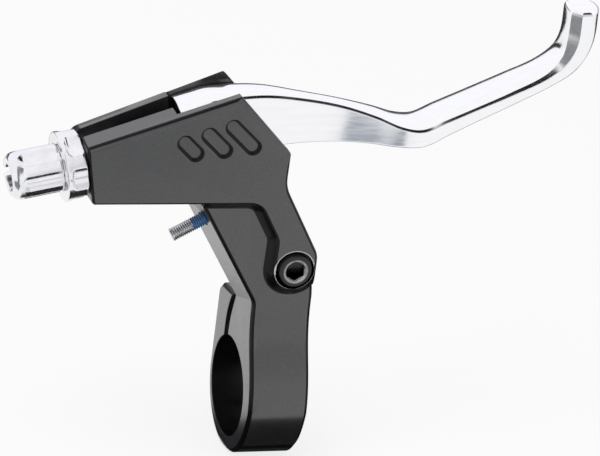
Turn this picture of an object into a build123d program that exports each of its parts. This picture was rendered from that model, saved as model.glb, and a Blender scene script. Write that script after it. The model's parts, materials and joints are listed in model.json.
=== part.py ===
from build123d import *
from math import atan2, cos, degrees, radians, sin, sqrt
import os

os.makedirs("parts", exist_ok=True)

# Right-hand bicycle brake lever for linear-pull brakes, in millimetres.
# The origin is the centre of the handlebar clamp. +X runs along the bar to the blade's tip,
# +Z from the bar to the blade. Depths are measured towards the front cheek, which faces -Y.

# Handlebar clamp and arm
bar_diameter = 22.2
clamp_clearance = 0.05
clamp_width = 13.5
clamp_outer_radius = 14.2
clamp_shift = 1.0
clamp_front_depth = 16.0
split_gap = 2.4
split_depth = -4.8
ear_back_depth = -13.0
ear_height = 20.8
arm_base_rise = 3.8
arm_edge_radius = 1.2
arm_chamfer = 0.8
arm_lean = 1.8

# Lever pivot
pivot_x = 1.2
pivot_height = 33.2
lever_depth = 4.7
pivot_boss_radius = 5.0
pivot_bolt_diameter = 5.0
pivot_head_diameter = 7.4
pivot_head_height = 2.1
pivot_head_recess = 1.2
pivot_head_chamfer = 0.4
pivot_head_gap = 0.6
pivot_nut_flats = 8.0
pivot_nut_height = 2.6
pivot_bolt_end = 0.6
socket_flats = 4.0
running_clearance = 0.03
seat_clearance = 0.05

# Bracket housing
housing_thickness = 15.0
cheek_step = 2.0
flare_run = 1.7
cheek_chamfer = 0.6
boss_corner = 4.7
channel_width = 9.6
nose_height = 14.0
cable_angle = 10.9
cable_pull_radius = 32.3
nose_reach = 43.8
top_angle = 21.0
top_length = 34.9
cheek_slant_length = 20.6
cheek_slant_angle = -47.2
front_top_angle = 18.5
top_fall = 0.4
top_rounding = 1.2
peak_radius = 1.8
rear_chamfer_depth = 3.4
rear_chamfer_drop = 2.6
bevel_width = 2.3
bevel_drop = 0.6
cable_slit = 3.4
cable_bore = 3.2

# Oblong recesses in the front cheek, from the nose to the blade
recess_width = 3.8
recess_depth = 0.8
recess_angle = -44.0
recess_lengths = (7.6, 9.2, 10.8)
recess_pitch = 5.85
recess_first_x = -27.0
recess_first_z = 29.6
recess_rise = 1.2
recess_taper = 42.0

# Lever
lever_thickness = 9.0
pivot_arm_thickness = 7.4
eye_radius = 4.6
blade_width = 11.0
neck_width = 5.4
tip_width = 9.4
tip_height = 4.6
tip_bevel = 2.0
tip_x = 60.2
tip_z = 57.6
tip_angle = 92.0
tip_rise = 1.0
tip_inset = 0.9
tip_crown = 2.4
blade_crown = 1.2
blade_bevel = 0.5
nipple_diameter = 7.2
nipple_x = -16.2
nose_slit = 2.2
nose_tip = 21.7
nose_above = 8.2
nose_below = 5.5
arm_right_angle = 119.5
channel_clearance = 0.9
arm_shoulder = 28.0
neck_step = 0.1

# Sections of the lever behind its nose, as x and z from the pivot, angle, height, width, bevel, crown
lever_shape = (
    (-23.5, 30.4, 12, 13.6, lever_thickness, blade_bevel, 0.2),
    (-19.2, 31.8, 13, 13.6, lever_thickness, blade_bevel, 0.2),
    (-10.2, 33.3, 0, 12.0, (lever_thickness + neck_width) / 2, blade_bevel, 0.3),
    (-1.2, 33.3, -5, 10.3, neck_width, blade_bevel, 0.4),
    (7.8, 32.7, -6, 8.6, neck_width, blade_bevel, 0.5),
    (15.8, 31.4, -9, 6.6, neck_width + 1.3, blade_bevel, 0.7),
    (21.8, 30.1, -7, 5.0, blade_width - 1.8, blade_bevel, 0.9),
    (26.8, 30.0, 8, 4.4, blade_width - 0.4, blade_bevel, 1.1),
    (31.8, 32.4, 24, 3.9, blade_width, blade_bevel, blade_crown),
    (38.8, 35.7, 25.5, 3.5, blade_width, blade_bevel, blade_crown),
    (46.8, 39.5, 25.5, 3.2, blade_width, blade_bevel + 0.1, blade_crown),
    (53.8, 43.0, 28, 3.2, blade_width - 0.5, blade_bevel + 0.3, blade_crown),
    (58.2, 46.6, 48, 4.2, tip_width + 0.4, tip_bevel - 0.6, (blade_crown + tip_crown) / 2),
    (59.9, 51.1, 78, tip_height, tip_width, tip_bevel, tip_crown),
)

# Bushes in the lever's eye
bush_wall = 0.7
bush_flange_radius = 4.2
bush_flange = 0.25
bush_gap = 0.2

# Cable adjuster and its lock ring
thread_diameter = 10.0
thread_clearance = 0.05
thread_depth = 11.0
adjuster_engagement = 9.5
adjuster_diameter = 11.0
adjuster_length = 11.1
adjuster_rim = 1.5
adjuster_chamfer = 1.1
ring_gap = 0.25
ring_diameter = 15.6
ring_length = 4.7
ring_flange = 1.0
ring_chamfer = 0.5
adjuster_flutes = 6
ring_flutes = 6
adjuster_flute_radius = 3.2
adjuster_flute_lift = 2.4
ring_flute_radius = 5.0
ring_flute_lift = 3.9
housing_socket_diameter = 6.1
housing_socket_depth = 8.0
adjuster_cable_bore = 2.6
adjuster_slit = 2.0

# Clamp bolt and reach screw
clamp_bolt_diameter = 5.0
clamp_bolt_height = 15.4
clamp_head_diameter = 8.4
clamp_head_height = 3.4
clamp_head_recess = 3.6
clamp_bolt_tip_depth = 7.0
reach_screw_diameter = 3.0
reach_screw_length = 13.6
reach_screw_angle = 29.0
reach_stop_gap = 0.3
heel_offset = 6.6
heel_height = 17.8
reach_socket_flats = 1.5

# Derived depths and places
front = lever_depth + housing_thickness / 2
rear = lever_depth - housing_thickness / 2
web_front = front - cheek_step
web_rear = rear + cheek_step
half_clamp = clamp_width / 2
arm_base = ear_height + arm_base_rise
bore_radius = bar_diameter / 2 + clamp_clearance
through = 80.0

cable_direction = Vector(cos(radians(cable_angle)), 0, sin(radians(cable_angle)))
cable_normal = Vector(-sin(radians(cable_angle)), 0, cos(radians(cable_angle)))
pivot = Vector(pivot_x, -lever_depth, pivot_height)
nose_centre = pivot + cable_normal * cable_pull_radius - cable_direction * nose_reach
nipple_centre = pivot + cable_normal * cable_pull_radius + cable_direction * nipple_x
reach_direction = Vector(cos(radians(reach_screw_angle)), 0, sin(radians(reach_screw_angle)))
reach_normal = Vector(-sin(radians(reach_screw_angle)), 0, cos(radians(reach_screw_angle)))
reach_stop = pivot - reach_direction * heel_offset + reach_normal * heel_height


def swing_plane(depth):
    """Plane of the lever's swing at a depth, its normal towards the front cheek."""
    return Plane.XZ.offset(depth)


def from_pivot(x, z):
    """Point in the swing plane, measured from the pivot."""
    return (pivot_x + x, pivot_height + z)


def along(point, angle, distance):
    """Point at a distance from another, at an angle in the swing plane."""
    return (point[0] + distance * cos(radians(angle)), point[1] + distance * sin(radians(angle)))


def in_plane(vector):
    """A point's place in the swing plane."""
    return (vector.X, vector.Z)


def axis_plane(origin, direction):
    """Plane across an axis in the swing plane, its normal along the axis and its x along +Y."""
    return Plane(origin=origin, x_dir=(0, 1, 0), z_dir=direction)


def edge_plane(point, angle):
    """Plane across an edge of the cheek: x is the depth, y runs into the cheek."""
    return Plane(
        origin=(point[0], 0, point[1]),
        x_dir=(0, -1, 0),
        z_dir=(cos(radians(angle)), 0, sin(radians(angle))),
    )


def corner_wedge(depth, run, drop):
    """Triangle that cuts a slope off the corner at a depth, with room beyond both ends."""
    return ((depth - 2 * run, -drop), (depth + run, 2 * drop), (depth + run, -drop))


side_plane = Plane(origin=(0, 0, 0), x_dir=(0, -1, 0), z_dir=(-1, 0, 0))
adjuster_plane = axis_plane(nose_centre, -cable_direction)
reach_plane = axis_plane(reach_stop, -reach_direction)
pivot_plane = Plane(origin=(pivot_x, 0, pivot_height), x_dir=(1, 0, 0), z_dir=(0, -1, 0))

clamp_bolt_plane = Plane(origin=(0, 0, clamp_bolt_height), x_dir=(1, 0, 0), z_dir=(0, -1, 0))

# Outline points of the housing, seen from the front
nose_low = in_plane(nose_centre - cable_normal * (nose_height / 2))
nose_high = in_plane(nose_centre + cable_normal * (nose_height / 2))
peak = along(nose_high, top_angle, top_length)
knee = along(peak, cheek_slant_angle, cheek_slant_length)
waist = (knee[0] - 0.15, pivot_height + 19.8)
boss_right = from_pivot(pivot_boss_radius, 3.4)
strip_low = from_pivot(-pivot_boss_radius + 0.3, 7.1)
strip_high = from_pivot(-9.6, 15.8)
arm_foot_left = (-half_clamp, arm_base)
arm_shoulder_left = from_pivot(-22.4, 15.4)
arm_rise = Vector(*arm_shoulder_left) - Vector(*arm_foot_left)
arm_left_angle = degrees(atan2(arm_rise.Y, arm_rise.X))


def arm_outline():
    """Outline of the arm and the clamp, seen from the front."""
    with BuildSketch(Plane.XZ) as outline:
        with BuildLine():
            FilletPolyline(
                (-half_clamp, -through / 4),
                arm_foot_left,
                arm_shoulder_left,
                from_pivot(-20.0, 17.5),
                from_pivot(-4.4, 17.5),
                from_pivot(4.2, 3.4),
                from_pivot(pivot_boss_radius, -0.5),
                (half_clamp, arm_base + arm_edge_radius),
                (half_clamp, -through / 4),
                radius=[4.0, 0.8, 0.8, 0.8, 3.0, 3.0, 3.0],
            )
            Line((half_clamp, -through / 4), (-half_clamp, -through / 4))
        make_face()
    return outline.sketch


# Arm, clamp ring and split ear
with BuildPart() as arm:
    with BuildSketch(side_plane):
        with BuildLine():
            foot = (clamp_front_depth, 0)
            web_start = (web_front, arm_base - arm_edge_radius)
            web_top = pivot_height + 17.5
            gap_front = split_depth + split_gap / 2
            gap_rear = split_depth - split_gap / 2
            gap_floor = bore_radius / 2
            gap_bend = bore_radius + 0.6
            Spline(foot, web_start, tangents=((0, 1), (0, 1)))
            web_end = (web_rear, arm_base + arm_edge_radius)
            Polyline(web_start, (web_front, web_top), (web_rear, web_top), web_end)
            Spline(web_end, (gap_front, gap_bend), tangents=((0, -1), (0, -1)))
            Polyline(
                (gap_front, gap_bend),
                (gap_front, gap_floor),
                (gap_rear, gap_floor),
                (gap_rear, gap_bend),
            )
            Spline((gap_rear, gap_bend), (gap_rear + 2.6, ear_height), tangents=((0, 1), (0.55, 1)))
            FilletPolyline(
                (gap_rear + 2.6, ear_height),
                (ear_back_depth, ear_height - 1.4),
                (clamp_shift - clamp_outer_radius, 0),
                radius=3.0,
            )
            ring_end = along((clamp_shift, 0), -30, clamp_outer_radius)
            ThreePointArc(
                (clamp_shift - clamp_outer_radius, 0),
                (clamp_shift, -clamp_outer_radius),
                ring_end,
            )
            TangentArc(ring_end, foot, tangent=(sin(radians(30)), cos(radians(30))))
        make_face()
    extrude(amount=through / 2, both=True)
    extrude(arm_outline(), amount=through / 2, both=True, mode=Mode.INTERSECT)
    front_edges = arm.edges().filter_by(lambda edge: edge.center().Y < arm_edge_radius / 2 - web_front)
    low_edges = front_edges.filter_by(lambda edge: edge.center().Z < pivot_height + 12)
    side_edges = low_edges.filter_by(lambda edge: abs(edge.center().X) > half_clamp / 4)
    chamfer(side_edges.filter_by(lambda edge: abs(edge.tangent_at(0.5).X) < 0.9), arm_chamfer)
    # Side towards the nose, leaning out to the rear, its foot let into the clamp
    lean_start = along(arm_foot_left, arm_left_angle, -clamp_width / 2)
    with BuildSketch(edge_plane(lean_start, arm_left_angle)):
        with BuildLine():
            Polyline(
                (web_front - arm_chamfer, 0),
                (web_rear, -arm_lean),
                (web_rear, arm_lean),
                (web_front - arm_chamfer, arm_lean),
                close=True,
            )
        make_face()
    extrude(amount=arm_rise.length + clamp_width / 2 + arm_chamfer)

# Housing with its two cheeks, before the channel is cut
with BuildPart() as housing:
    with BuildSketch(swing_plane(rear)):
        with BuildLine():
            FilletPolyline(
                nose_low,
                nose_high,
                peak,
                knee,
                waist,
                boss_right,
                from_pivot(pivot_boss_radius, -pivot_boss_radius),
                from_pivot(-pivot_boss_radius, -pivot_boss_radius),
                strip_low,
                strip_high,
                radius=[1.0, 1.6, peak_radius, 1.0, 8.0, 5.0, boss_corner, boss_corner, 4.0, 4.0],
                close=True,
            )
        make_face()
    extrude(amount=housing_thickness)
    cheek_faces = housing.faces().sort_by(Axis.Y)
    chamfer(cheek_faces[0].edges() + cheek_faces[-1].edges(), cheek_chamfer)
    # Top of the front cheek, falling to a rounded edge, and the slope behind
    with BuildSketch(edge_plane(nose_high, front_top_angle)):
        with BuildLine():
            face_end = (front, top_fall + 2 * top_rounding)
            room = 4 * top_rounding
            FilletPolyline((lever_depth, 0), (front, top_fall), face_end, radius=top_rounding)
            Polyline(
                face_end,
                (front + room, face_end[1]),
                (front + room, -room),
                (lever_depth, -room),
                (lever_depth, 0),
            )
        make_face()
    extrude(amount=through, both=True, mode=Mode.SUBTRACT)
    with BuildSketch(edge_plane(nose_high, top_angle)):
        with BuildLine():
            Polyline(*corner_wedge(rear, -rear_chamfer_depth, rear_chamfer_drop), close=True)
        make_face()
    extrude(amount=through, both=True, mode=Mode.SUBTRACT)
    # Shallow bevel along the slanted edge of the front cheek
    with BuildSketch(edge_plane(peak, cheek_slant_angle)):
        with BuildLine():
            Polyline(*corner_wedge(front, bevel_drop, bevel_width), close=True)
        make_face()
    extrude(amount=through, both=True, mode=Mode.SUBTRACT)

# Flare at the foot of the front cheek and its boss, where they stand on the arm
with BuildPart() as flare:
    with BuildSketch(swing_plane(web_front)):
        with BuildLine():
            FilletPolyline(
                from_pivot(-30.0, 16.2),
                strip_high,
                strip_low,
                from_pivot(-pivot_boss_radius, -pivot_boss_radius),
                from_pivot(pivot_boss_radius, -pivot_boss_radius),
                from_pivot(pivot_boss_radius, 22.0),
                from_pivot(-30.0, 22.0),
                radius=[0.2, 4.0, 4.0, boss_corner, boss_corner, 0.2, 0.2],
                close=True,
            )
        make_face()
        offset(amount=flare_run)
    flare_height = cheek_step - cheek_chamfer - seat_clearance
    extrude(amount=flare_height, taper=degrees(atan2(flare_run + seat_clearance, flare_height)))
    extrude(arm_outline(), amount=through / 2, both=True, mode=Mode.INTERSECT)

# Bracket: arm and housing in one casting, with the channel, bores and slit cut into it
channel_floor = cable_pull_radius - nose_below - channel_clearance
channel_end = -nose_tip - channel_clearance
pocket_radius = heel_offset + channel_clearance
floor_left = pivot + cable_normal * channel_floor + cable_direction * channel_end
wall_low = pivot - reach_direction * pocket_radius
wall_rise = channel_floor - (wall_low - pivot).dot(cable_normal)
floor_right = wall_low + reach_normal * (wall_rise / reach_normal.dot(cable_normal))

with BuildPart() as bracket:
    add(arm.part)
    add(housing.part)
    add(flare.part)
    with BuildSketch(Plane.YZ):
        Circle(bore_radius)
    extrude(amount=through / 2, both=True, mode=Mode.SUBTRACT)
    # Channel for the lever, open at the top and on the blade's side
    with BuildSketch(swing_plane(lever_depth)):
        with BuildLine():
            Polyline(
                in_plane(floor_left + cable_normal * through),
                in_plane(floor_left),
                in_plane(floor_right),
                in_plane(wall_low),
                from_pivot(0, 0),
                from_pivot(through, 0),
                from_pivot(through, through),
                close=True,
            )
        make_face()
        with Locations(from_pivot(0, 0)):
            Circle(pocket_radius)
    extrude(amount=channel_width / 2, both=True, mode=Mode.SUBTRACT)
    # Threaded nose, cable bore and the slit that lets the cable in from above
    with BuildSketch(adjuster_plane):
        Circle(thread_diameter / 2)
    extrude(amount=-thread_depth, mode=Mode.SUBTRACT)
    with BuildSketch(adjuster_plane):
        Circle(cable_bore / 2)
    extrude(amount=-(nose_reach + channel_end), mode=Mode.SUBTRACT)
    with BuildSketch(adjuster_plane):
        with Locations((0, -nose_height / 2)):
            Rectangle(cable_slit, nose_height)
    extrude(amount=-(nose_reach + channel_end), mode=Mode.SUBTRACT)
    # Pivot bore with the recess of the bolt's head
    with BuildSketch(pivot_plane):
        Circle(pivot_bolt_diameter / 2 + seat_clearance)
    extrude(amount=through / 2, both=True, mode=Mode.SUBTRACT)
    with BuildSketch(pivot_plane.offset(front - pivot_head_recess)):
        Circle(pivot_head_diameter / 2 + pivot_head_gap)
    extrude(amount=through / 2, mode=Mode.SUBTRACT)
    # Clamp bolt bore, with its head let into the ear
    with BuildSketch(clamp_bolt_plane.offset(clamp_bolt_tip_depth)):
        Circle(clamp_bolt_diameter / 2 + seat_clearance)
    extrude(amount=-through / 2, mode=Mode.SUBTRACT)
    with BuildSketch(clamp_bolt_plane.offset(ear_back_depth + clamp_head_recess)):
        Circle(clamp_head_diameter / 2 + seat_clearance * 4)
    extrude(amount=-through / 2, mode=Mode.SUBTRACT)
    # Reach screw bore
    with BuildSketch(reach_plane):
        Circle(reach_screw_diameter / 2 + seat_clearance)
    extrude(amount=through / 4, mode=Mode.SUBTRACT)
    # Oblong recesses
    for index, length in enumerate(recess_lengths):
        with BuildSketch(swing_plane(front)):
            recess_x = recess_first_x + index * recess_pitch
            recess_z = recess_first_z + index * recess_rise
            with Locations(from_pivot(recess_x, recess_z)):
                SlotOverall(length, recess_width, rotation=recess_angle)
        extrude(amount=-recess_depth, taper=recess_taper, mode=Mode.SUBTRACT)
bracket.part.label = "bracket"
export_step(bracket.part, "parts/bracket.step")


# Lever: stations along nose, neck, blade and tip, measured from the pivot
def lever_station(x, z, angle, height, width, edge, crown):
    """Section across the lever: flat finger side with bevelled edges, rounded on the bar side."""
    plane = axis_plane(pivot + Vector(x, 0, z), (cos(radians(angle)), 0, sin(radians(angle))))
    half = width / 2
    top = height / 2
    with BuildSketch(plane) as section:
        with BuildLine():
            Polyline(
                (-half, -top),
                (-half, top - edge),
                (edge - half, top),
                (half - edge, top),
                (half, top - edge),
                (half, -top),
            )
            ThreePointArc((half, -top), (0, -top - crown), (-half, -top))
        make_face()
    return section.sketch


def tip_station(turn):
    """Section of the rounded tip: 0 degrees where the rounding starts, 90 at the very end."""
    inset = tip_inset * (1 - cos(radians(turn)))
    place = along((tip_x, tip_z), tip_angle, tip_rise * sin(radians(turn)))
    height = tip_height - 2 * inset
    width = tip_width - 2 * inset
    return lever_station(*place, tip_angle, height, width, tip_bevel - inset / 2, tip_crown - inset / 2)


nose_size = nose_above + nose_below
nose_middle = cable_normal * (cable_pull_radius + nose_above - nose_size / 2) - cable_direction * nose_tip
nose_station = (nose_middle.X, nose_middle.Z, cable_angle, nose_size, lever_thickness, blade_bevel, 0.2)
lever_stations = [lever_station(*shape) for shape in (nose_station, *lever_shape)]
heel_low = pivot - reach_direction * heel_offset
heel_high = heel_low + reach_normal * (heel_height + 15.2)
eye_tangent = Vector(cos(radians(arm_right_angle - 90)), 0, sin(radians(arm_right_angle - 90))) * eye_radius
arm_right_low = in_plane(pivot + eye_tangent)
arm_right_high = along(arm_right_low, arm_right_angle, 19.5)

with BuildPart() as lever:
    loft(sections=[*lever_stations, tip_station(0)])
    loft(sections=[tip_station(turn) for turn in (0, 40, 75)], ruled=True)
    with BuildSketch(swing_plane(lever_depth)):
        with BuildLine():
            FilletPolyline(
                in_plane(heel_low),
                in_plane(heel_high),
                from_pivot(-12.0, 33.0),
                from_pivot(2.0, 31.4),
                from_pivot(2.0, 28.6),
                (arm_right_high[0], pivot_height + 27.8),
                arm_right_high,
                arm_right_low,
                from_pivot(0, -eye_radius),
                radius=[1.0, 1.0, 1.0, 1.0, 1.0, 3.5, 6.0, 0.5, 0.5],
                close=True,
            )
        make_face()
    extrude(amount=neck_width / 2 - neck_step, both=True)
    with BuildSketch(swing_plane(lever_depth)):
        with BuildLine():
            FilletPolyline(
                in_plane(heel_low),
                in_plane(heel_low + reach_normal * arm_shoulder),
                (arm_right_high[0], (heel_low + reach_normal * arm_shoulder).Z),
                arm_right_high,
                arm_right_low,
                from_pivot(0, -eye_radius),
                radius=[1.0, 1.0, 0.5, 1.0, 0.5, 0.5],
                close=True,
            )
        make_face()
    extrude(amount=pivot_arm_thickness / 2, both=True)
    with BuildSketch(pivot_plane.offset(lever_depth)):
        Circle(eye_radius)
    extrude(amount=lever_thickness / 2, both=True)
    # Eye bore, seat of the cable's end and the slit that the cable swings through
    with BuildSketch(pivot_plane.offset(lever_depth)):
        Circle(pivot_bolt_diameter / 2 + running_clearance + bush_wall)
    extrude(amount=lever_thickness, both=True, mode=Mode.SUBTRACT)
    with BuildSketch(swing_plane(lever_depth)):
        with Locations(in_plane(nipple_centre)):
            Circle(nipple_diameter / 2)
    extrude(amount=lever_thickness, both=True, mode=Mode.SUBTRACT)
    with BuildSketch(axis_plane(nipple_centre, -cable_direction)):
        with Locations((0, (nose_height - nose_slit) / 2)):
            Rectangle(nose_slit, nose_height)
    extrude(amount=nose_tip, mode=Mode.SUBTRACT)
lever.part.label = "lever"
export_step(lever.part, "parts/lever.step")

# Pivot bolt, nut and the two bushes in the lever's eye
head_seat = front - pivot_head_recess
with BuildPart() as pivot_bolt:
    with BuildSketch(pivot_plane.offset(head_seat)):
        Circle(pivot_head_diameter / 2)
    extrude(amount=pivot_head_height)
    chamfer(pivot_bolt.edges().sort_by(Axis.Y)[0], pivot_head_chamfer)
    with BuildSketch(pivot_plane.offset(head_seat)):
        Circle(pivot_bolt_diameter / 2)
    extrude(amount=-(head_seat - rear + pivot_nut_height + pivot_bolt_end))
    with BuildSketch(pivot_plane.offset(head_seat + pivot_head_height)):
        RegularPolygon(socket_flats / 2, 6, major_radius=False)
    extrude(amount=-pivot_head_height, mode=Mode.SUBTRACT)
pivot_bolt.part.label = "pivot_bolt"
export_step(pivot_bolt.part, "parts/pivot_bolt.step")

with BuildPart() as pivot_nut:
    with BuildSketch(pivot_plane.offset(rear)):
        RegularPolygon(pivot_nut_flats / 2, 6, major_radius=False)
        Circle(pivot_bolt_diameter / 2 + seat_clearance, mode=Mode.SUBTRACT)
    extrude(amount=-pivot_nut_height)
pivot_nut.part.label = "pivot_nut"
export_step(pivot_nut.part, "parts/pivot_nut.step")


def eye_bush(side):
    """Flanged bush for one side of the lever's eye: 1 for the front, -1 for the rear."""
    face = pivot_plane.offset(lever_depth + side * lever_thickness / 2)
    inner = pivot_bolt_diameter / 2 + running_clearance
    with BuildPart() as bush:
        with BuildSketch(face):
            Circle(bush_flange_radius)
            Circle(inner, mode=Mode.SUBTRACT)
        extrude(amount=side * bush_flange)
        with BuildSketch(face):
            Circle(inner + bush_wall)
            Circle(inner, mode=Mode.SUBTRACT)
        extrude(amount=side * (bush_gap - lever_thickness) / 2)
    return bush.part


bush_front = eye_bush(1)
bush_front.label = "pivot_bush_front"
export_step(bush_front, "parts/pivot_bush_front.step")
bush_rear = eye_bush(-1)
bush_rear.label = "pivot_bush_rear"
export_step(bush_rear, "parts/pivot_bush_rear.step")

# Cable adjuster, measured outwards from the end of the nose
barrel_start = ring_gap + ring_length + ring_gap
barrel_end = barrel_start + adjuster_length
shank_radius = thread_diameter / 2 - thread_clearance
flute_run_out = sqrt(adjuster_flute_radius**2 - adjuster_flute_lift**2)
flute_end = barrel_end - adjuster_rim - flute_run_out
with BuildPart() as barrel_adjuster:
    with BuildSketch(adjuster_plane.offset(-adjuster_engagement)):
        Circle(shank_radius)
    extrude(amount=adjuster_engagement + barrel_start)
    with BuildSketch(adjuster_plane.offset(barrel_start)):
        Circle(adjuster_diameter / 2)
    extrude(amount=adjuster_length)
    outer_face = barrel_adjuster.faces().sort_by_distance(adjuster_plane.offset(barrel_end).origin)[0]
    chamfer(outer_face.edges(), adjuster_chamfer)
    with BuildSketch(adjuster_plane.offset(barrel_start)):
        with PolarLocations(adjuster_diameter / 2 + adjuster_flute_lift, adjuster_flutes):
            Circle(adjuster_flute_radius)
    extrude(amount=flute_end - barrel_start, mode=Mode.SUBTRACT)
    with Locations(adjuster_plane.offset(flute_end)):
        with PolarLocations(adjuster_diameter / 2 + adjuster_flute_lift, adjuster_flutes):
            Sphere(adjuster_flute_radius, mode=Mode.SUBTRACT)
    with BuildSketch(adjuster_plane.offset(barrel_end)):
        Circle(housing_socket_diameter / 2)
    extrude(amount=-housing_socket_depth, mode=Mode.SUBTRACT)
    with BuildSketch(adjuster_plane.offset(-adjuster_engagement)):
        Circle(adjuster_cable_bore / 2)
        with Locations((thread_diameter / 2, 0)):
            Rectangle(thread_diameter, adjuster_slit)
    extrude(amount=adjuster_engagement + barrel_end, mode=Mode.SUBTRACT)
barrel_adjuster.part.label = "barrel_adjuster"
export_step(barrel_adjuster.part, "parts/barrel_adjuster.step")

with BuildPart() as lock_ring:
    with BuildSketch(adjuster_plane.offset(ring_gap)):
        Circle(ring_diameter / 2)
    extrude(amount=ring_length)
    chamfer(lock_ring.edges().filter_by(GeomType.CIRCLE), ring_chamfer)
    with BuildSketch(adjuster_plane.offset(ring_gap)):
        with PolarLocations(ring_diameter / 2 + ring_flute_lift, ring_flutes):
            Circle(ring_flute_radius)
    extrude(amount=ring_length - ring_flange, mode=Mode.SUBTRACT)
    with BuildSketch(adjuster_plane.offset(ring_gap)):
        Circle(shank_radius + thread_clearance)
        with Locations((ring_diameter / 2, 0)):
            Rectangle(ring_diameter, adjuster_slit)
    extrude(amount=ring_length, mode=Mode.SUBTRACT)
lock_ring.part.label = "adjuster_lock_ring"
export_step(lock_ring.part, "parts/adjuster_lock_ring.step")

# Clamp bolt, let into the ear
clamp_seat = ear_back_depth + clamp_head_recess
with BuildPart() as clamp_bolt:
    with BuildSketch(clamp_bolt_plane.offset(clamp_seat)):
        Circle(clamp_head_diameter / 2)
    extrude(amount=-clamp_head_height)
    with BuildSketch(clamp_bolt_plane.offset(clamp_seat)):
        Circle(clamp_bolt_diameter / 2)
    extrude(amount=clamp_bolt_tip_depth - clamp_seat - 0.5)
    with BuildSketch(clamp_bolt_plane.offset(clamp_seat - clamp_head_height)):
        RegularPolygon(socket_flats / 2, 6, major_radius=False)
    extrude(amount=clamp_head_height * 0.7, mode=Mode.SUBTRACT)
clamp_bolt.part.label = "clamp_bolt"
export_step(clamp_bolt.part, "parts/clamp_bolt.step")

# Reach screw, its inner end just clear of the lever's heel
with BuildPart() as reach_screw:
    with BuildSketch(reach_plane.offset(reach_stop_gap)):
        Circle(reach_screw_diameter / 2)
    extrude(amount=reach_screw_length)
    with BuildSketch(reach_plane.offset(reach_stop_gap + reach_screw_length)):
        RegularPolygon(reach_socket_flats / 2, 6, major_radius=False)
    extrude(amount=-reach_screw_diameter, mode=Mode.SUBTRACT)
reach_screw.part.label = "reach_screw"
export_step(reach_screw.part, "parts/reach_screw.step")
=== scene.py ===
"""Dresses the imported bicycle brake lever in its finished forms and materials, on a plain white stage."""
import json
import math

import bmesh
import bpy
from mathutils import Matrix, Vector


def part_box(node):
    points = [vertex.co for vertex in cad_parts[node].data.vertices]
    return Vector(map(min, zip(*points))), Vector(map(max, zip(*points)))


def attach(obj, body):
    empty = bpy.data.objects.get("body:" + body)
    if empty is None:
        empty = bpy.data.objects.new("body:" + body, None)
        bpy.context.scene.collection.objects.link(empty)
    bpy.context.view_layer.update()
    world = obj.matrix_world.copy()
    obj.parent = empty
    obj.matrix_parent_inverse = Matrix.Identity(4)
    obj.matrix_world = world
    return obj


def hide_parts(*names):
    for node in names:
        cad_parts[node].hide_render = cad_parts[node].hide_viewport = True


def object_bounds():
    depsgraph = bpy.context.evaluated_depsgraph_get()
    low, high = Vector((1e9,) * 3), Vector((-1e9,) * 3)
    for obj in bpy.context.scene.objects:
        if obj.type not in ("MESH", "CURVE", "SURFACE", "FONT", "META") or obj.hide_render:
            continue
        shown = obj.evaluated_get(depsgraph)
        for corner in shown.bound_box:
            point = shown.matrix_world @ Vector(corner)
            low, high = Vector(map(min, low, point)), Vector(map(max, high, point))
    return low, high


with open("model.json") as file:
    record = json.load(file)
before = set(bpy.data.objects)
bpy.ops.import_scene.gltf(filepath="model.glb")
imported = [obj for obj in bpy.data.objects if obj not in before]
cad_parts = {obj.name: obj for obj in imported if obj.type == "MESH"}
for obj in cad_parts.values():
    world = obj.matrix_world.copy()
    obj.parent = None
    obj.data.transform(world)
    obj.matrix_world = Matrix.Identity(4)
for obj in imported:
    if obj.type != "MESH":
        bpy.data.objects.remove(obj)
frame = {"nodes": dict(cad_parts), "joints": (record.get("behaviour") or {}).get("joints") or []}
cad_box = [list(corner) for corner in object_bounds()]

bl_info = {
    "name": "Bicycle Brake Lever",
    "version": (1, 0, 0),
    "blender": (4, 5, 0),
    "location": "View3D > Sidebar > Brake Lever",
    "description": "Cast bracket, forged lever, cable adjuster and screws of a bicycle brake lever",
    "category": "Object",
}

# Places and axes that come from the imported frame
joints = {joint["name"]: joint for joint in frame["joints"]}
PIVOT = Vector(joints["lever_pivot"]["pos_m"])
NOSE = Vector(joints["adjuster_turn"]["pos_m"])
CABLE_OUT = Vector(joints["adjuster_turn"]["axis"]).normalized()
REACH_OUT = Vector(joints["reach_adjust"]["axis"]).normalized()

# Directions of the frame, and a millimetre in its metres
FRONT = Vector((0, -1, 0))
REAR = Vector((0, 1, 0))
UP = Vector((0, 0, 1))
MM = 0.001

# Fineness of the meshes
ARC_STEPS = 4
LONGEST_ARC = 0.45
SECTION_STEPS = 14
FLUTE_SEGMENTS = 36
SCREW_SEGMENTS = 96
DRILL_SEGMENTS = 64
MERGE_DISTANCE = 0.000002
TURNED_SHADE_ANGLE = 38

# Radius in millimetres that any hexagon here lies within, and the shares of a crest that a thread reaches
BEYOND_HEXAGON = 9.0
THREAD_ZONE = (0.93, 1.01)

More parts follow.
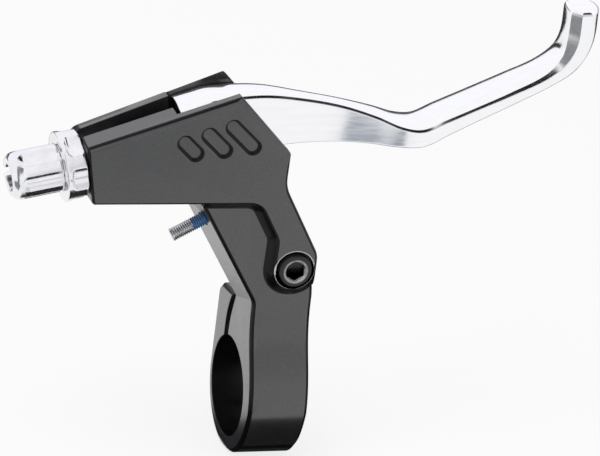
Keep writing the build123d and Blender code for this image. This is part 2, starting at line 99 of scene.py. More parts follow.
# Sections of the lever from nose to tip, in millimetres and degrees from the pivot:
# x, z, angle, height, width, bevel of the finger side, crown of the bar side, crown of the finger side
LEVER_SECTIONS = (
    (-27.8, 29.77, 10.9, 15.4, 9.0, 0.5, 0.2, 0.9),
    (-23.7, 31.2, 12, 15.2, 9.0, 0.5, 0.2, 0.9),
    (-19.4, 32.5, 13, 15.0, 9.0, 0.5, 0.2, 0.9),
    (-10.2, 33.8, 0, 13.0, 7.2, 0.5, 0.3, 0.7),
    (-1.2, 33.5, -5, 10.7, 5.4, 0.5, 0.4, 0.5),
    (7.8, 32.7, -6, 8.6, 5.4, 0.5, 0.5, 0.5),
    (15.8, 31.4, -9, 6.6, 7.4, 0.5, 0.7, 0.7),
    (21.8, 30.1, -7, 5.0, 9.8, 0.5, 0.9, 0.9),
    (26.8, 30.0, 8, 4.4, 10.8, 0.5, 1.1, 1.0),
    (31.8, 32.4, 24, 3.9, 11.0, 0.5, 1.2, 1.0),
    (38.8, 35.7, 25.5, 3.5, 11.0, 0.5, 1.2, 1.0),
    (46.8, 39.5, 25.5, 3.2, 11.0, 0.6, 1.2, 1.0),
    (53.8, 43.0, 28, 3.2, 10.5, 0.8, 1.2, 0.9),
    (58.2, 46.6, 48, 4.2, 9.8, 1.4, 1.8, 0.6),
    (59.9, 51.1, 78, 4.6, 9.4, 2.0, 2.4, 0.4),
    (60.2, 57.6, 92, 4.6, 9.4, 2.0, 2.4, 0.3),
)

# Limits of a section's bevel, crown and bar edge in millimetres, and its steps from the middle to a side
SMALLEST_BEVEL = 0.1
SMALLEST_CROWN = 0.05
LARGEST_BAR_EDGE = 0.8
FINGER_STEPS = 4
BAR_STEPS = 6

# The lever's pivot arm and the wider part below it, from the pivot in millimetres: rows of x, z and rounding
PIVOT_ARM = (
    (-5.77, -3.2, 1.0), (-21.77, 25.66, 1.0), (-12.0, 33.0, 1.0), (2.0, 31.4, 1.0), (2.0, 28.6, 1.0),
    (-5.6, 27.8, 3.5), (-5.6, 19.24, 6.0), (4.0, 2.27, 0.5), (0.0, -4.6, 0.5),
)
PIVOT_ARM_LOWER = (
    (-5.77, -3.2, 1.0), (-19.35, 21.29, 1.0), (-5.6, 21.29, 0.5), (-5.6, 19.24, 1.0), (4.0, 2.27, 0.5),
    (0.0, -4.6, 0.5),
)

# The adjuster and its lock ring along the cable, in millimetres: rows of radius, height and rounding
BARREL = (
    (1.3, -9.5, 0.1), (4.95, -9.5, 0.5), (4.95, 5.2, 0), (5.5, 5.2, 0.25), (5.5, 13.6, 4.0),
    (5.1, 15.3, 1.6), (4.2, 16.3, 0.8), (3.05, 16.3, 0.4), (3.05, 8.3, 0), (1.3, 8.3, 0),
)
RING = ((5.0, 0.25, 0.3), (7.8, 0.25, 0.6), (7.8, 4.95, 0.4), (5.0, 4.95, 0.3))

# Screws in millimetres: rows of radius, height and rounding from the inner end to the socket's mouth,
# then the width and floor of the socket, and the depth, start and end of the thread
PIVOT_BOLT = {
    "rows": ((0.05, -17.0, 0), (2.5, -17.0, 0.4), (2.5, 0, 0), (3.7, 0, 0.1), (3.7, 2.1, 0.55),
             (2.45, 2.1, 0.1), (2.2, 1.8, 0)),
    "socket": (4.0, 0.2),
    "cut": (0.3, -17.0, -12.4),
}
CLAMP_BOLT = {
    "rows": ((0.05, -15.9, 0), (2.5, -15.9, 0.4), (2.5, 0, 0), (4.2, 0, 0.1), (4.2, 3.4, 0.45),
             (2.5, 3.4, 0.1), (2.25, 3.1, 0)),
    "socket": (4.0, 1.02),
    "cut": (0.3, -15.9, -3.0),
}
REACH_SCREW = {
    "rows": ((0.05, 0, 0), (1.5, 0, 0.3), (1.5, 13.6, 0.3), (1.0, 13.6, 0.05), (0.86, 13.45, 0)),
    "socket": (1.5, 10.6),
    "cut": (0.22, 0.2, 13.6),
}

# The pivot bolt's nut in millimetres: radius and height of its rings, and the width of the hexagons
NUT = (
    (2.75, 0.2), (2.95, 0), (3.9, 0), (BEYOND_HEXAGON, 0.001, 8.0), (BEYOND_HEXAGON, 1.9, 8.0),
    (4.35, 2.35, 8.0), (3.95, 2.6), (2.95, 2.6), (2.55, 2.3), (2.55, 0.5),
)

# The paint's coat: what is lost of it on faces with painted shade, and how it follows the grain
PAINTED_SHADE_COAT_LOSS = 0.97
COAT_GRAIN = (0.6, 0.56)

# Round the pivot bolt: a bare-metal colour, middle and half width of a painted highlight rim in the paint,
# the distances from the axis between which the bolt's head is worn bare and given a painted highlight, and
# how far in front of the pivot each begins
BARE_METAL_AND_HIGHLIGHT = (0.5, 0.5, 0.51)
PAINTED_HIGHLIGHT_RIM = (4.46 * MM, 0.13 * MM)
PAINTED_HIGHLIGHT_RIM_DEPTH = 6.5 * MM
HEAD_WEAR_AND_HIGHLIGHT = (2.9 * MM, 2.5 * MM)
HEAD_WEAR_AND_HIGHLIGHT_DEPTH = 7.8 * MM

# Cards that only reflections show: name, middle, facing, width and height, tone
CARDS = (
    ("front_card", (0.085, -0.165, 0.13), (0.0, 0.165, -0.08), (0.23, 0.13), (0.66, 0.66, 0.70)),
    ("top_card", (0.0625, -0.07, 0.22), (0.0, 0.06, -0.17), (0.175, 0.14), (0.01, 0.01, 0.012)),
    ("rear_card", (0.075, 0.055, -0.013), UP, (0.17, 0.13), (0.05, 0.05, 0.06)),
    ("tip_card", (-0.17, -0.09, -0.013), UP, (0.14, 0.12), (0.22, 0.23, 0.24)),
    ("back_card", (0.0, 0.60, 0.42), (0.0, -0.60, -0.36), (1.6, 0.6), (1.0, 1.0, 1.04)),
    ("under_card", (0.016, 0.002, -0.013), UP, (0.048, 0.056), (0.02, 0.02, 0.02)),
    ("left_card", (-0.0315, -0.02, -0.013), UP, (0.047, 0.06), (0.02, 0.02, 0.02)),
    ("floor_strip", (0.018, -0.19, -0.013), UP, (0.046, 0.06), (0.16, 0.20, 0.26)),
    ("far_card", (0.14, 0.32, -0.013), UP, (0.4, 0.38), (0.03, 0.03, 0.035)),
    ("bend_card", (-0.165, -0.15, 0.13), (0.25, 0.145, -0.04), (0.10, 0.34), (0.22, 0.23, 0.24)),
    ("horizon_card", (0.2, 0.55, 0.055), (0.0, -0.55, 0.0), (1.4, 0.136), (0.03, 0.03, 0.035)),
)


class BrakeLeverSizes(bpy.types.PropertyGroup):
    """Sizes of the pieces that the scene shapes by itself"""

    bracket_edge: bpy.props.FloatProperty(
        name="Bracket edge", description="Rounding of the casting's edges", default=0.0002, unit="LENGTH")
    # Painted shade: roundings up to this radius get a darker, coatless paint standing in for dark reflections
    painted_shade_radius: bpy.props.FloatProperty(
        name="Dull radius", description="Radius of the casting's roundings up to which the paint is dull",
        default=0.002, unit="LENGTH")
    lever_edge: bpy.props.FloatProperty(
        name="Lever edge", description="Rounding of the lever's forged edges", default=0.00035, unit="LENGTH")
    tip_rise: bpy.props.FloatProperty(
        name="Tip rise", description="Height of the rounding at the blade's end", default=0.001,
        unit="LENGTH")
    tip_inset: bpy.props.FloatProperty(
        name="Tip inset", description="How far the blade's end draws in", default=0.0009, unit="LENGTH")
    flute_count: bpy.props.IntProperty(
        name="Flutes", description="Number of flutes round the adjuster and its ring", default=6, min=3)
    barrel_flute: bpy.props.FloatProperty(
        name="Barrel flute", description="Radius of the adjuster's flutes", default=0.0032, unit="LENGTH")
    ring_flute: bpy.props.FloatProperty(
        name="Ring flute", description="Radius of the lock ring's flutes", default=0.005, unit="LENGTH")
    adjuster_pitch: bpy.props.FloatProperty(
        name="Adjuster pitch", description="Pitch of the adjuster's thread", default=0.001, unit="LENGTH")
    bolt_pitch: bpy.props.FloatProperty(
        name="Bolt pitch", description="Pitch of the bolts' threads", default=0.0008, unit="LENGTH")
    reach_pitch: bpy.props.FloatProperty(
        name="Reach screw pitch", description="Pitch of the reach screw's thread", default=0.0005,
        unit="LENGTH")


class BrakeLeverFinish(bpy.types.PropertyGroup):
    """Colours and gloss of the finishes"""

    paint: bpy.props.FloatVectorProperty(
        name="Paint", description="Satin paint of the bracket", subtype="COLOR",
        default=(0.009, 0.009, 0.010))
    paint_roughness: bpy.props.FloatProperty(
        name="Paint roughness", description="Mean roughness of the paint", default=0.32, subtype="FACTOR")
    alloy: bpy.props.FloatVectorProperty(
        name="Alloy", description="Polished alloy of the lever", subtype="COLOR", default=(0.96, 0.96, 0.98))
    alloy_roughness: bpy.props.FloatProperty(
        name="Alloy roughness", description="Mean roughness of the polished alloy", default=0.15,
        subtype="FACTOR")
    plate: bpy.props.FloatVectorProperty(
        name="Plating", description="Bright plating of the adjuster", subtype="COLOR",
        default=(0.90, 0.90, 0.93))
    black_steel: bpy.props.FloatVectorProperty(
        name="Black steel", description="Black oxide of the bolts", subtype="COLOR",
        default=(0.030, 0.030, 0.032))
    zinc: bpy.props.FloatVectorProperty(
        name="Zinc", description="Zinc plate of nut and reach screw", subtype="COLOR",
        default=(0.62, 0.63, 0.65))
    patch: bpy.props.FloatVectorProperty(
        name="Patch", description="Locking patch on the reach screw", subtype="COLOR",
        default=(0.05, 0.14, 0.30))
    bush: bpy.props.FloatVectorProperty(
        name="Bush", description="Bearing plastic of the bushes", subtype="COLOR", default=(0.70, 0.69, 0.65))


class BrakeLeverStage(bpy.types.PropertyGroup):
    """Light and camera"""

    key_power: bpy.props.FloatProperty(
        name="Key light", description="Power of the large light above", default=4.0, unit="POWER")
    side_power: bpy.props.FloatProperty(
        name="Side light", description="Power of the light from the left", default=1.6, unit="POWER")
    fill_level: bpy.props.FloatProperty(
        name="Fill", description="Strength of the white surroundings as light", default=0.55)
    lens: bpy.props.FloatProperty(
        name="Lens", description="Focal length of the camera in millimetres", default=1000.0)


# Outlines and bodies made of rings
def in_metres(rows):
    """Rows of values given in millimetres."""
    return [tuple(value * MM for value in row) for row in rows]


def rounded_outline(rows):
    """Closed outline through rows of x, y and rounding, with an arc in place of each rounded corner."""
    corners = [Vector(row[:2]) for row in rows]
    outline = []
    for index, corner in enumerate(corners):
        radius = rows[index][2]
        if radius <= 0:
            outline.append(corner)
            continue
        back = corners[index - 1] - corner
        ahead = corners[(index + 1) % len(corners)] - corner
        reach = radius / math.tan(back.angle(ahead) / 2)
        reach = min(reach, back.length * LONGEST_ARC, ahead.length * LONGEST_ARC)
        start = corner + back.normalized() * reach
        end = corner + ahead.normalized() * reach
        for step in range(ARC_STEPS + 1):
            share = step / ARC_STEPS
            outline.append(start.lerp(corner, share).lerp(corner.lerp(end, share), share))
    return outline


def rounded_profile(rows, spacing):
    """Profile of a turned body with rounded corners, and points at most one spacing apart."""
    profile = rounded_outline(in_metres(rows))
    result = []
    for index, point in enumerate(profile):
        after = profile[(index + 1) % len(profile)]
        parts = max(1, math.ceil((after - point).length / spacing))
        result.extend(point.lerp(after, part / parts) for part in range(parts))
    return result


def hexagon_radius(flats, angle):
    """Distance from the axis to the side of a hexagon, at an angle round it."""
    return flats / 2 / math.cos((angle + math.pi / 6) % (math.pi / 3) - math.pi / 6)


def ring_mesh(name, rings, joined=False):
    """Body between rings of points: the last ring meets the first, or else both ends are closed."""
    bm = bmesh.new()
    rings = [[bm.verts.new(point) for point in ring] for ring in rings]
    pairs = list(zip(rings, rings[1:]))
    if joined:
        pairs.append((rings[-1], rings[0]))
    for lower, upper in pairs:
        for index in range(len(lower)):
            after = (index + 1) % len(lower)
            bm.faces.new((lower[index], lower[after], upper[after], upper[index]))
    if not joined:
        bm.faces.new(list(reversed(rings[0])))
        bm.faces.new(rings[-1])
    bmesh.ops.recalc_face_normals(bm, faces=bm.faces)
    mesh = bpy.data.meshes.new(name)
    bm.to_mesh(mesh)
    bm.free()
    return mesh


def turned_mesh(name, profile, segments, joined=False):
    """Body turned about +Z from points of radius and height; a third value makes a ring a hexagon."""
    rings = []
    for point in profile:
        ring = []
        for index in range(segments):
            angle = 2 * math.pi * index / segments
            radius = point[0]
            if len(point) == 3:
                radius = min(radius, hexagon_radius(point[2], angle))
            ring.append((radius * math.cos(angle), radius * math.sin(angle), point[1]))
        rings.append(ring)
    return ring_mesh(name, rings, joined)


def place_along(mesh, origin, axis):
    """Moves a body made along +Z so that it starts at the origin given and runs along the axis."""
    across = REAR if abs(axis.y) < 0.9 else Vector((1, 0, 0))
    third = axis.cross(across).normalized()
    turn = Matrix((across, third, axis)).transposed().to_4x4()
    mesh.transform(Matrix.Translation(origin) @ turn)
    return mesh


# Modifiers, each turned into a plain mesh
def baked(mesh, kind, inputs=None, **settings):
    """Plain mesh of an object that carries this mesh and a modifier with its settings and inputs."""
    holder = bpy.data.objects.new(mesh.name, mesh)
    bpy.context.scene.collection.objects.link(holder)
    modifier = holder.modifiers.new(kind.title(), kind)
    for label, value in settings.items():
        setattr(modifier, label, value)
    for label, value in (inputs or {}).items():
        modifier[label] = value
    bpy.context.view_layer.update()
    graph = bpy.context.evaluated_depsgraph_get()
    result = bpy.data.meshes.new_from_object(holder.evaluated_get(graph), depsgraph=graph)
    holder.modifiers.clear()
    bpy.data.objects.remove(holder)
    return result


def combined(mesh, other, operation):
    """Two closed meshes joined or cut."""
    tool = bpy.data.objects.new(other.name, other)
    bpy.context.scene.collection.objects.link(tool)
    result = baked(mesh, "BOOLEAN", operation=operation, solver="EXACT", object=tool)
    bpy.data.objects.remove(tool)
    return result


def shaded(mesh, angle, soft_edges=()):
    """Smooth shading up to an angle between faces and over soft edges, with large faces kept flat."""
    mesh.shade_smooth()
    mesh.set_sharp_from_angle(angle=math.radians(angle))
    for index in soft_edges:
        mesh.edges[index].use_edge_sharp = False
    return baked(mesh, "WEIGHTED_NORMAL", keep_sharp=True)


def through_tree(mesh, tree, material, **sizes):
    """Plain mesh of a turned body sent through a node tree, with the tree's inputs set by name."""
    identifiers = {item.name: item.identifier for item in tree.interface.items_tree if item.in_out == "INPUT"}
    inputs = {identifiers[label.replace("_", " ").title()]: value for label, value in sizes.items()}
    inputs[identifiers["Material"]] = material
    return baked(mesh, "NODES", inputs, node_group=tree)


# Node trees
class NodeWriter:
    """Fills a node tree by short calls"""

    def __init__(self, tree):
        self.tree = tree

    def join(self, value, socket):
        """Joins a socket to another, or sets its value; a colour becomes opaque."""
        if isinstance(value, bpy.types.NodeSocket):
            self.tree.links.new(value, socket)
        elif socket.type == "RGBA":
            socket.default_value = (*value, 1.0)
        else:
            socket.default_value = value

    def add(self, kind, inputs=None, **settings):
        """Places a node with its settings, and its inputs by name or number; gives its outputs."""
        node = self.tree.nodes.new(kind)
        for label, value in settings.items():
            setattr(node, label, value)
        for label, value in (inputs or {}).items():
            self.join(value, node.inputs[label])
        return node.outputs

    def math(self, operation, *values):
        """Places a math node; gives its output."""
        return self.add("ShaderNodeMath", dict(enumerate(values)), operation=operation)[0]


def new_tree(name, tree_kind, inputs, output):
    """Writer of a node tree with labelled inputs of some kinds, and one output."""
    tree = bpy.data.node_groups.new(name, tree_kind)
    for label, kind in inputs:
        tree.interface.new_socket(label, in_out="INPUT", socket_type="NodeSocket" + kind)
    tree.interface.new_socket(output, in_out="OUTPUT", socket_type="NodeSocket" + output)
    return NodeWriter(tree)


def turned_tree(name, inputs, build):
    """Geometry node tree that moves each point of a turned body to the radius that build works out."""
    inputs = (("Geometry", "Geometry"), *inputs, ("Material", "Material"))
    nodes = new_tree(name, "GeometryNodeTree", inputs, "Geometry")
    calc = nodes.math
    geometry, *sizes, material = nodes.add("NodeGroupInput")[:-1]
    place = nodes.add("GeometryNodeInputPosition")[0]
    x, y, height = nodes.add("ShaderNodeSeparateXYZ", {0: place})
    radius = calc("SQRT", calc("ADD", calc("MULTIPLY", x, x), calc("MULTIPLY", y, y)))
    new_radius = build(calc, radius, height, calc("ARCTAN2", y, x), *sizes)
    change = calc("SUBTRACT", calc("DIVIDE", new_radius, radius), 1.0)
    move = {0: calc("MULTIPLY", x, change), 1: calc("MULTIPLY", y, change)}
    offset = nodes.add("ShaderNodeCombineXYZ", move)[0]
    moved = nodes.add("GeometryNodeSetPosition", {"Geometry": geometry, "Offset": offset})[0]
    merged = nodes.add("GeometryNodeMergeByDistance", {"Geometry": moved, "Distance": MERGE_DISTANCE})[0]
    plain = nodes.add("GeometryNodeRealizeInstances", {0: merged})[0]
    painted = nodes.add("GeometryNodeSetMaterial", {"Geometry": plain, "Material": material})[0]
    nodes.add("NodeGroupOutput", {0: painted})
    return nodes.tree


def fluted_radius(calc, radius, height, angle, count, outer, flute, lift, end, run_out):
    """Radius of a body with round-bottomed flutes sunk into it, each ending in a rounded pocket."""
    half_step = calc("DIVIDE", math.pi, count)
    turn = calc("WRAP", angle, half_step, calc("MULTIPLY", half_step, -1.0))
    centre = calc("ADD", outer, lift)
    beyond = calc("MAXIMUM", calc("SUBTRACT", height, calc("SUBTRACT", end, run_out)), 0.0)
    aside = calc("MULTIPLY", centre, calc("SINE", turn))
    room = calc("MULTIPLY", flute, flute)
    half_chord = calc("SQRT", calc("SUBTRACT", room, calc("MULTIPLY", lift, lift)))
    beyond = calc("MULTIPLY", beyond, calc("DIVIDE", half_chord, run_out))
    room = calc("SUBTRACT", room, calc("MULTIPLY", beyond, beyond))
    room = calc("SUBTRACT", room, calc("MULTIPLY", aside, aside))
    inside = calc("GREATER_THAN", room, 0.0)
    root = calc("SQRT", calc("MAXIMUM", room, 0.0))
    floor = calc("SUBTRACT", calc("MULTIPLY", centre, calc("COSINE", turn)), root)
    depth = calc("MAXIMUM", calc("SUBTRACT", radius, floor), 0.0)
    return calc("SUBTRACT", radius, calc("MULTIPLY", depth, inside))


def threaded_radius(calc, radius, height, angle, crest, pitch, depth, start, end):
    """Radius of a body with a screw thread cut into its crest between two heights."""
    lowest, highest = THREAD_ZONE
    turns = calc("SUBTRACT", calc("DIVIDE", height, pitch), calc("DIVIDE", angle, 2 * math.pi))
    wave = calc("ABSOLUTE", calc("SUBTRACT", calc("MULTIPLY", calc("FRACT", turns), 2.0), 1.0))
    run_in = calc("DIVIDE", calc("SUBTRACT", height, start), pitch)
    run_out = calc("DIVIDE", calc("SUBTRACT", end, height), pitch)
    fade = calc("MAXIMUM", calc("MINIMUM", calc("MINIMUM", run_in, run_out), 1.0), 0.0)
    outside = calc("GREATER_THAN", radius, calc("MULTIPLY", crest, lowest))
    below = calc("LESS_THAN", radius, calc("MULTIPLY", crest, highest))
    sink = calc("MULTIPLY", calc("MULTIPLY", wave, depth), fade)
    sink = calc("MULTIPLY", calc("MULTIPLY", sink, outside), below)
    return calc("SUBTRACT", radius, sink)


def flute_tree():
    """Tree that sinks flutes into a turned body."""
    lengths = ("Outer Radius", "Flute Radius", "Lift", "Flute End", "Run Out")
    inputs = [("Count", "Int")] + [(label, "Float") for label in lengths]
    return turned_tree("Flutes", inputs, fluted_radius)


def thread_tree():
    """Tree that cuts a screw thread into the outside of a turned body."""
    lengths = ("Crest Radius", "Pitch", "Depth", "Start", "End")
    return turned_tree("Thread", [(label, "Float") for label in lengths], threaded_radius)


def mottle_value(nodes, vector, scale, low, high):
    """Soft unevenness between two values, for roughness and tone."""
    noise = nodes.add("ShaderNodeTexNoise", {"Vector": vector, "Scale": scale, "Detail": 3.0})[0]
    spread = {"Value": noise, "From Min": 0.3, "From Max": 0.7, "To Min": low, "To Max": high}
    return nodes.add("ShaderNodeMapRange", spread)[0]


def grain_height(nodes, vector, scale, fine):
    """Height of a fine grain, coarse pits laid over a finer one."""
    finer = nodes.math("MULTIPLY", scale, 3.0)
    coarse_noise = nodes.add("ShaderNodeTexNoise", {"Vector": vector, "Scale": scale})[0]
    fine_noise = nodes.add("ShaderNodeTexNoise", {"Vector": vector, "Scale": finer})[0]
    return nodes.math("ADD", coarse_noise, nodes.math("MULTIPLY", fine_noise, fine))


# Materials
class Surface(NodeWriter):
    """Material of one colour, filled by short calls"""

    def __init__(self, name, colour, metallic):
        self.material = bpy.data.materials.new(name)
        self.material.use_nodes = True
        super().__init__(self.material.node_tree)
        self.colour = tuple(colour)
        self.place = self.add("ShaderNodeTexCoord")["Object"]
        self.shade({"Base Color": colour, "Metallic": metallic})

    def shade(self, inputs):
        """Joins or sets inputs of the shader."""
        shader = self.tree.nodes["Principled BSDF"]
        for label, value in inputs.items():
            self.join(value, shader.inputs[label])

    def group(self, name, build, **values):
        """Places a shared node group, built at its first use; gives its output."""
        if name not in bpy.data.node_groups:
            inputs = [("Vector", "Vector")] + [(label, "Float") for label in values]
            nodes = new_tree(name, "ShaderNodeTree", inputs, "Float")
            nodes.add("NodeGroupOutput", {0: build(nodes, *nodes.add("NodeGroupInput")[:-1])})
        inputs = {"Vector": self.place, **values}
        return self.add("ShaderNodeGroup", inputs, node_tree=bpy.data.node_groups[name])[0]

    def mottle(self, scale, low, high):
        """Value that drifts softly between two."""
        return self.group("Mottle", mottle_value, Scale=scale, Low=low, High=high)

    def grain(self, scale, fine):
        """Height of a fine grain."""
        return self.group("Grain", grain_height, Scale=scale, Fine=fine)

    def mixed(self, mask, first, second):
        """Colour between two, by a mask."""
        return self.add("ShaderNodeMix", {0: mask, 6: first, 7: second}, data_type="RGBA")[2]

    def toned(self, share):
        """The surface's own colour, made lighter or darker."""
        return tuple(channel * share for channel in self.colour)

    def mottled(self, scale, share):
        """The surface's own colour, drifting softly to a lighter or darker one."""
        return self.mixed(self.mottle(scale, 0.0, 1.0), self.colour, self.toned(share))

    def from_pivot(self):
        """Distance from the axis of the pivot, which runs along Y."""
        shift = self.add("ShaderNodeVectorMath", {0: self.place, 1: PIVOT}, operation="SUBTRACT")[0]
        flat = self.add("ShaderNodeVectorMath", {0: shift, 1: (1.0, 0.0, 1.0)}, operation="MULTIPLY")[0]
        return self.add("ShaderNodeVectorMath", {0: flat}, operation="LENGTH")["Value"]

    def before_pivot(self, depth):
        """One where the surface lies further in front of the pivot than a depth."""
        y = self.add("ShaderNodeSeparateXYZ", {0: self.place})["Y"]
        return self.math("LESS_THAN", y, PIVOT.y - depth)

    def finished(self, colour, roughness, height, relief):
        """Material with its colour, its roughness, and heights as a relief of this depth."""
        bump = self.add("ShaderNodeBump", {"Strength": 1.0, "Distance": relief, "Height": height})[0]
        self.shade({"Base Color": colour, "Roughness": roughness, "Normal": bump})
        return self.material


def paint_material(finish):
    """Satin black paint with a grainy coat; painted shade (darker, without coat) on marked faces, and a
    painted highlight rim round the pivot bolt.
    """
    paint = Surface("black_paint", finish.paint, 0.0)
    paint.shade({"Specular IOR Level": 0.2, "Coat Roughness": 0.3, "Coat IOR": 1.85})
    # Painted shade: faces in the rounding attribute get a darker colour and lose the coat, standing in for
    # shadow and dark reflections
    painted_shade = paint.add("ShaderNodeAttribute", attribute_name="rounding")["Fac"]
    # Painted highlight: a thin ring of bare-metal colour in the paint round the bolt's counterbore
    highlight_rim = paint.math("COMPARE", paint.from_pivot(), *PAINTED_HIGHLIGHT_RIM)
    highlight_rim = paint.math("MULTIPLY", highlight_rim, paint.before_pivot(PAINTED_HIGHLIGHT_RIM_DEPTH))
    grain = paint.grain(scale=3500.0, fine=0.4)
    sheen = paint.math("SUBTRACT", 1.0, paint.math("MULTIPLY", painted_shade, PAINTED_SHADE_COAT_LOSS))
    coat = paint.math("MULTIPLY_ADD", grain, *COAT_GRAIN)
    paint.shade({"Coat Weight": paint.math("MULTIPLY", sheen, coat)})
    colour = paint.mixed(painted_shade, paint.mottled(scale=160.0, share=1.35), paint.toned(0.3))
    rough = finish.paint_roughness
    return paint.finished(
        colour=paint.mixed(highlight_rim, colour, BARE_METAL_AND_HIGHLIGHT),
        roughness=paint.mottle(scale=420.0, low=rough - 0.05, high=rough + 0.05),
        height=grain,
        relief=0.00001)


def alloy_material(finish):
    """Polished alloy with faint polishing lines along the lever."""
    alloy = Surface("polished_alloy", finish.alloy, 1.0)
    lines = {"Vector": alloy.place, "Rotation": (0.0, math.radians(12), 0.0), "Scale": (60.0, 900.0, 900.0)}
    alloy.place = alloy.add("ShaderNodeMapping", lines)[0]
    rough = finish.alloy_roughness
    return alloy.finished(
        colour=alloy.mottled(scale=1.0, share=0.97),
        roughness=alloy.mottle(scale=1.3, low=rough - 0.03, high=rough + 0.04),
        height=alloy.grain(scale=1.0, fine=0.3),
        relief=0.000002)


def plate_material(finish):
    """Bright plating of the turned adjuster."""
    plate = Surface("bright_alloy", finish.plate, 1.0)
    return plate.finished(
        colour=plate.mottled(scale=500.0, share=0.93),
        roughness=plate.mottle(scale=900.0, low=0.13, high=0.22),
        height=plate.grain(scale=2500.0, fine=0.3),
        relief=0.000002)


def black_steel_material(finish):
    """Black oxide, worn to bare steel round the key's socket, which also stands as a painted highlight there.
    """
    steel = Surface("black_steel", finish.black_steel, 0.6)
    # Bare steel worn round the socket's mouth, also a painted highlight there
    begins, bare = HEAD_WEAR_AND_HIGHLIGHT
    near = {"Value": steel.from_pivot(), "From Min": begins, "From Max": bare}
    wear_and_highlight = steel.add("ShaderNodeMapRange", near)[0]
    wear_and_highlight = steel.math("MULTIPLY", wear_and_highlight, steel.before_pivot(HEAD_WEAR_AND_HIGHLIGHT_DEPTH))
    wear_and_highlight = steel.math("MULTIPLY", wear_and_highlight, steel.mottle(scale=900.0, low=0.5, high=1.0))
    return steel.finished(
        colour=steel.mixed(wear_and_highlight, steel.colour, BARE_METAL_AND_HIGHLIGHT),
        roughness=steel.mottle(scale=700.0, low=0.26, high=0.38),
        height=steel.grain(scale=2200.0, fine=0.4),
        relief=0.000005)


def zinc_material(finish, name="plated_steel", patch=None):
    """Zinc plated steel; a patch between two distances along the reach screw is painted."""
    zinc = Surface(name, finish.zinc, 1.0)
    colour = zinc.mottled(scale=700.0, share=0.8)
    if patch:
        start, end = patch
        along = zinc.add("ShaderNodeVectorMath", {0: zinc.place, 1: REACH_OUT}, operation="DOT_PRODUCT")
        ragged = zinc.math("ADD", along["Value"], zinc.mottle(scale=1300.0, low=-0.0004, high=0.0004))
        inside = zinc.math("LESS_THAN", ragged, end)
        inside = zinc.math("MULTIPLY", inside, zinc.math("GREATER_THAN", ragged, start))
        colour = zinc.mixed(inside, colour, finish.patch)
        zinc.shade({"Metallic": zinc.math("SUBTRACT", 1.0, inside)})
    return zinc.finished(
        colour=colour,
        roughness=zinc.mottle(scale=900.0, low=0.24, high=0.38),
        height=zinc.grain(scale=2400.0, fine=0.4),
        relief=0.000004)


def bush_material(finish):
    """Moulded bearing plastic."""
    bush = Surface("bush_plastic", finish.bush, 0.0)
    return bush.finished(
        colour=bush.mottled(scale=500.0, share=0.88),
        roughness=bush.mottle(scale=800.0, low=0.42, high=0.55),
        height=bush.grain(scale=1800.0, fine=0.5),
        relief=0.000006)


def new_piece(name, mesh, material, body, slot, *nodes):
    """Finished piece that rides on a body and stands for its CAD nodes."""
    mesh.name = name
    mesh.materials.clear()
    mesh.materials.append(material)
    piece = bpy.data.objects.new(name, mesh)
    bpy.context.scene.collection.objects.link(piece)
    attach(piece, body)
    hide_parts(*nodes)


# Lever
def section_curve(sections):
    """Sections between the given ones, on a smooth curve through them."""
    places = [0.0]
    for before, after in zip(sections, sections[1:]):
        places.append(places[-1] + math.hypot(after[0] - before[0], after[1] - before[1]))
    slopes = []
    for index in range(len(sections)):
        low = max(index - 1, 0)
        high = min(index + 1, len(sections) - 1)
        slopes.append([(b - a) / (places[high] - places[low]) for a, b in zip(sections[low], sections[high])])
    curve = []
    for index in range(len(sections) - 1):
        span = places[index + 1] - places[index]
        for step in range(SECTION_STEPS):
            t = step / SECTION_STEPS
            weights = (2 * t**3 - 3 * t**2 + 1, (t**3 - 2 * t**2 + t) * span,
                       3 * t**2 - 2 * t**3, (t**3 - t**2) * span)
            rows = zip(sections[index], slopes[index], sections[index + 1], slopes[index + 1])
            curve.append([sum(w * value for w, value in zip(weights, row)) for row in rows])
    curve.append(list(sections[-1]))
    return curve


def section_ring(section, edge, inset=0.0, rise=0.0):
    """Ring of points round the lever: bevelled and crowned finger side, sides, and a rounded bar side."""
    x, z, angle, height, width, bevel, crown, finger_crown = section
    half = width / 2 - inset
    top = height / 2 - inset
    bevel = max(bevel - inset / 2, SMALLEST_BEVEL)
    crown = max(crown - inset / 2, SMALLEST_CROWN)
    flat = half - bevel
    brow = top - finger_crown / 2
    bar_edge = min(crown, LARGEST_BAR_EDGE)
    rows = [(-half, -top, bar_edge), (-half, brow - bevel, edge), (-flat, brow, edge)]
    for step in range(1 - FINGER_STEPS, FINGER_STEPS):
        share = step / FINGER_STEPS
        rows.append((flat * share, brow + finger_crown * (1 - share**2), 0))
    rows += [(flat, brow, edge), (half, brow - bevel, edge), (half, -top, bar_edge)]
    for step in range(1, 2 * BAR_STEPS):
        share = 1 - step / BAR_STEPS
        rows.append((half * share, -top - crown * (1 - share**2), 0))
    turn = math.radians(angle)
    ring = []
    for point in rounded_outline(rows):
        along = rise * math.cos(turn) - point.y * math.sin(turn)
        up = rise * math.sin(turn) + point.y * math.cos(turn)
        ring.append(PIVOT + Vector(((x + along) * MM, point.x * MM, (z + up) * MM)))
    return ring


def lever_blade(sizes):
    """Nose, neck, blade and tip of the lever as one smooth body."""
    edge = sizes.lever_edge / MM
    curve = section_curve(LEVER_SECTIONS)
    rings = []
    for turn in map(math.radians, (90, 60, 30)):
        rings.append(section_ring(curve[0], edge, edge * (1 - math.cos(turn)), edge * (1 - math.sin(turn))))
    rings += [section_ring(section, edge) for section in curve[1:]]
    for turn in map(math.radians, (15, 30, 45, 60, 72, 82)):
        inset = sizes.tip_inset / MM * (1 - math.cos(turn))
        rise = sizes.tip_rise / MM * math.sin(turn)
        rings.append(section_ring(curve[-1], edge, inset, rise))
    return ring_mesh("lever", rings)


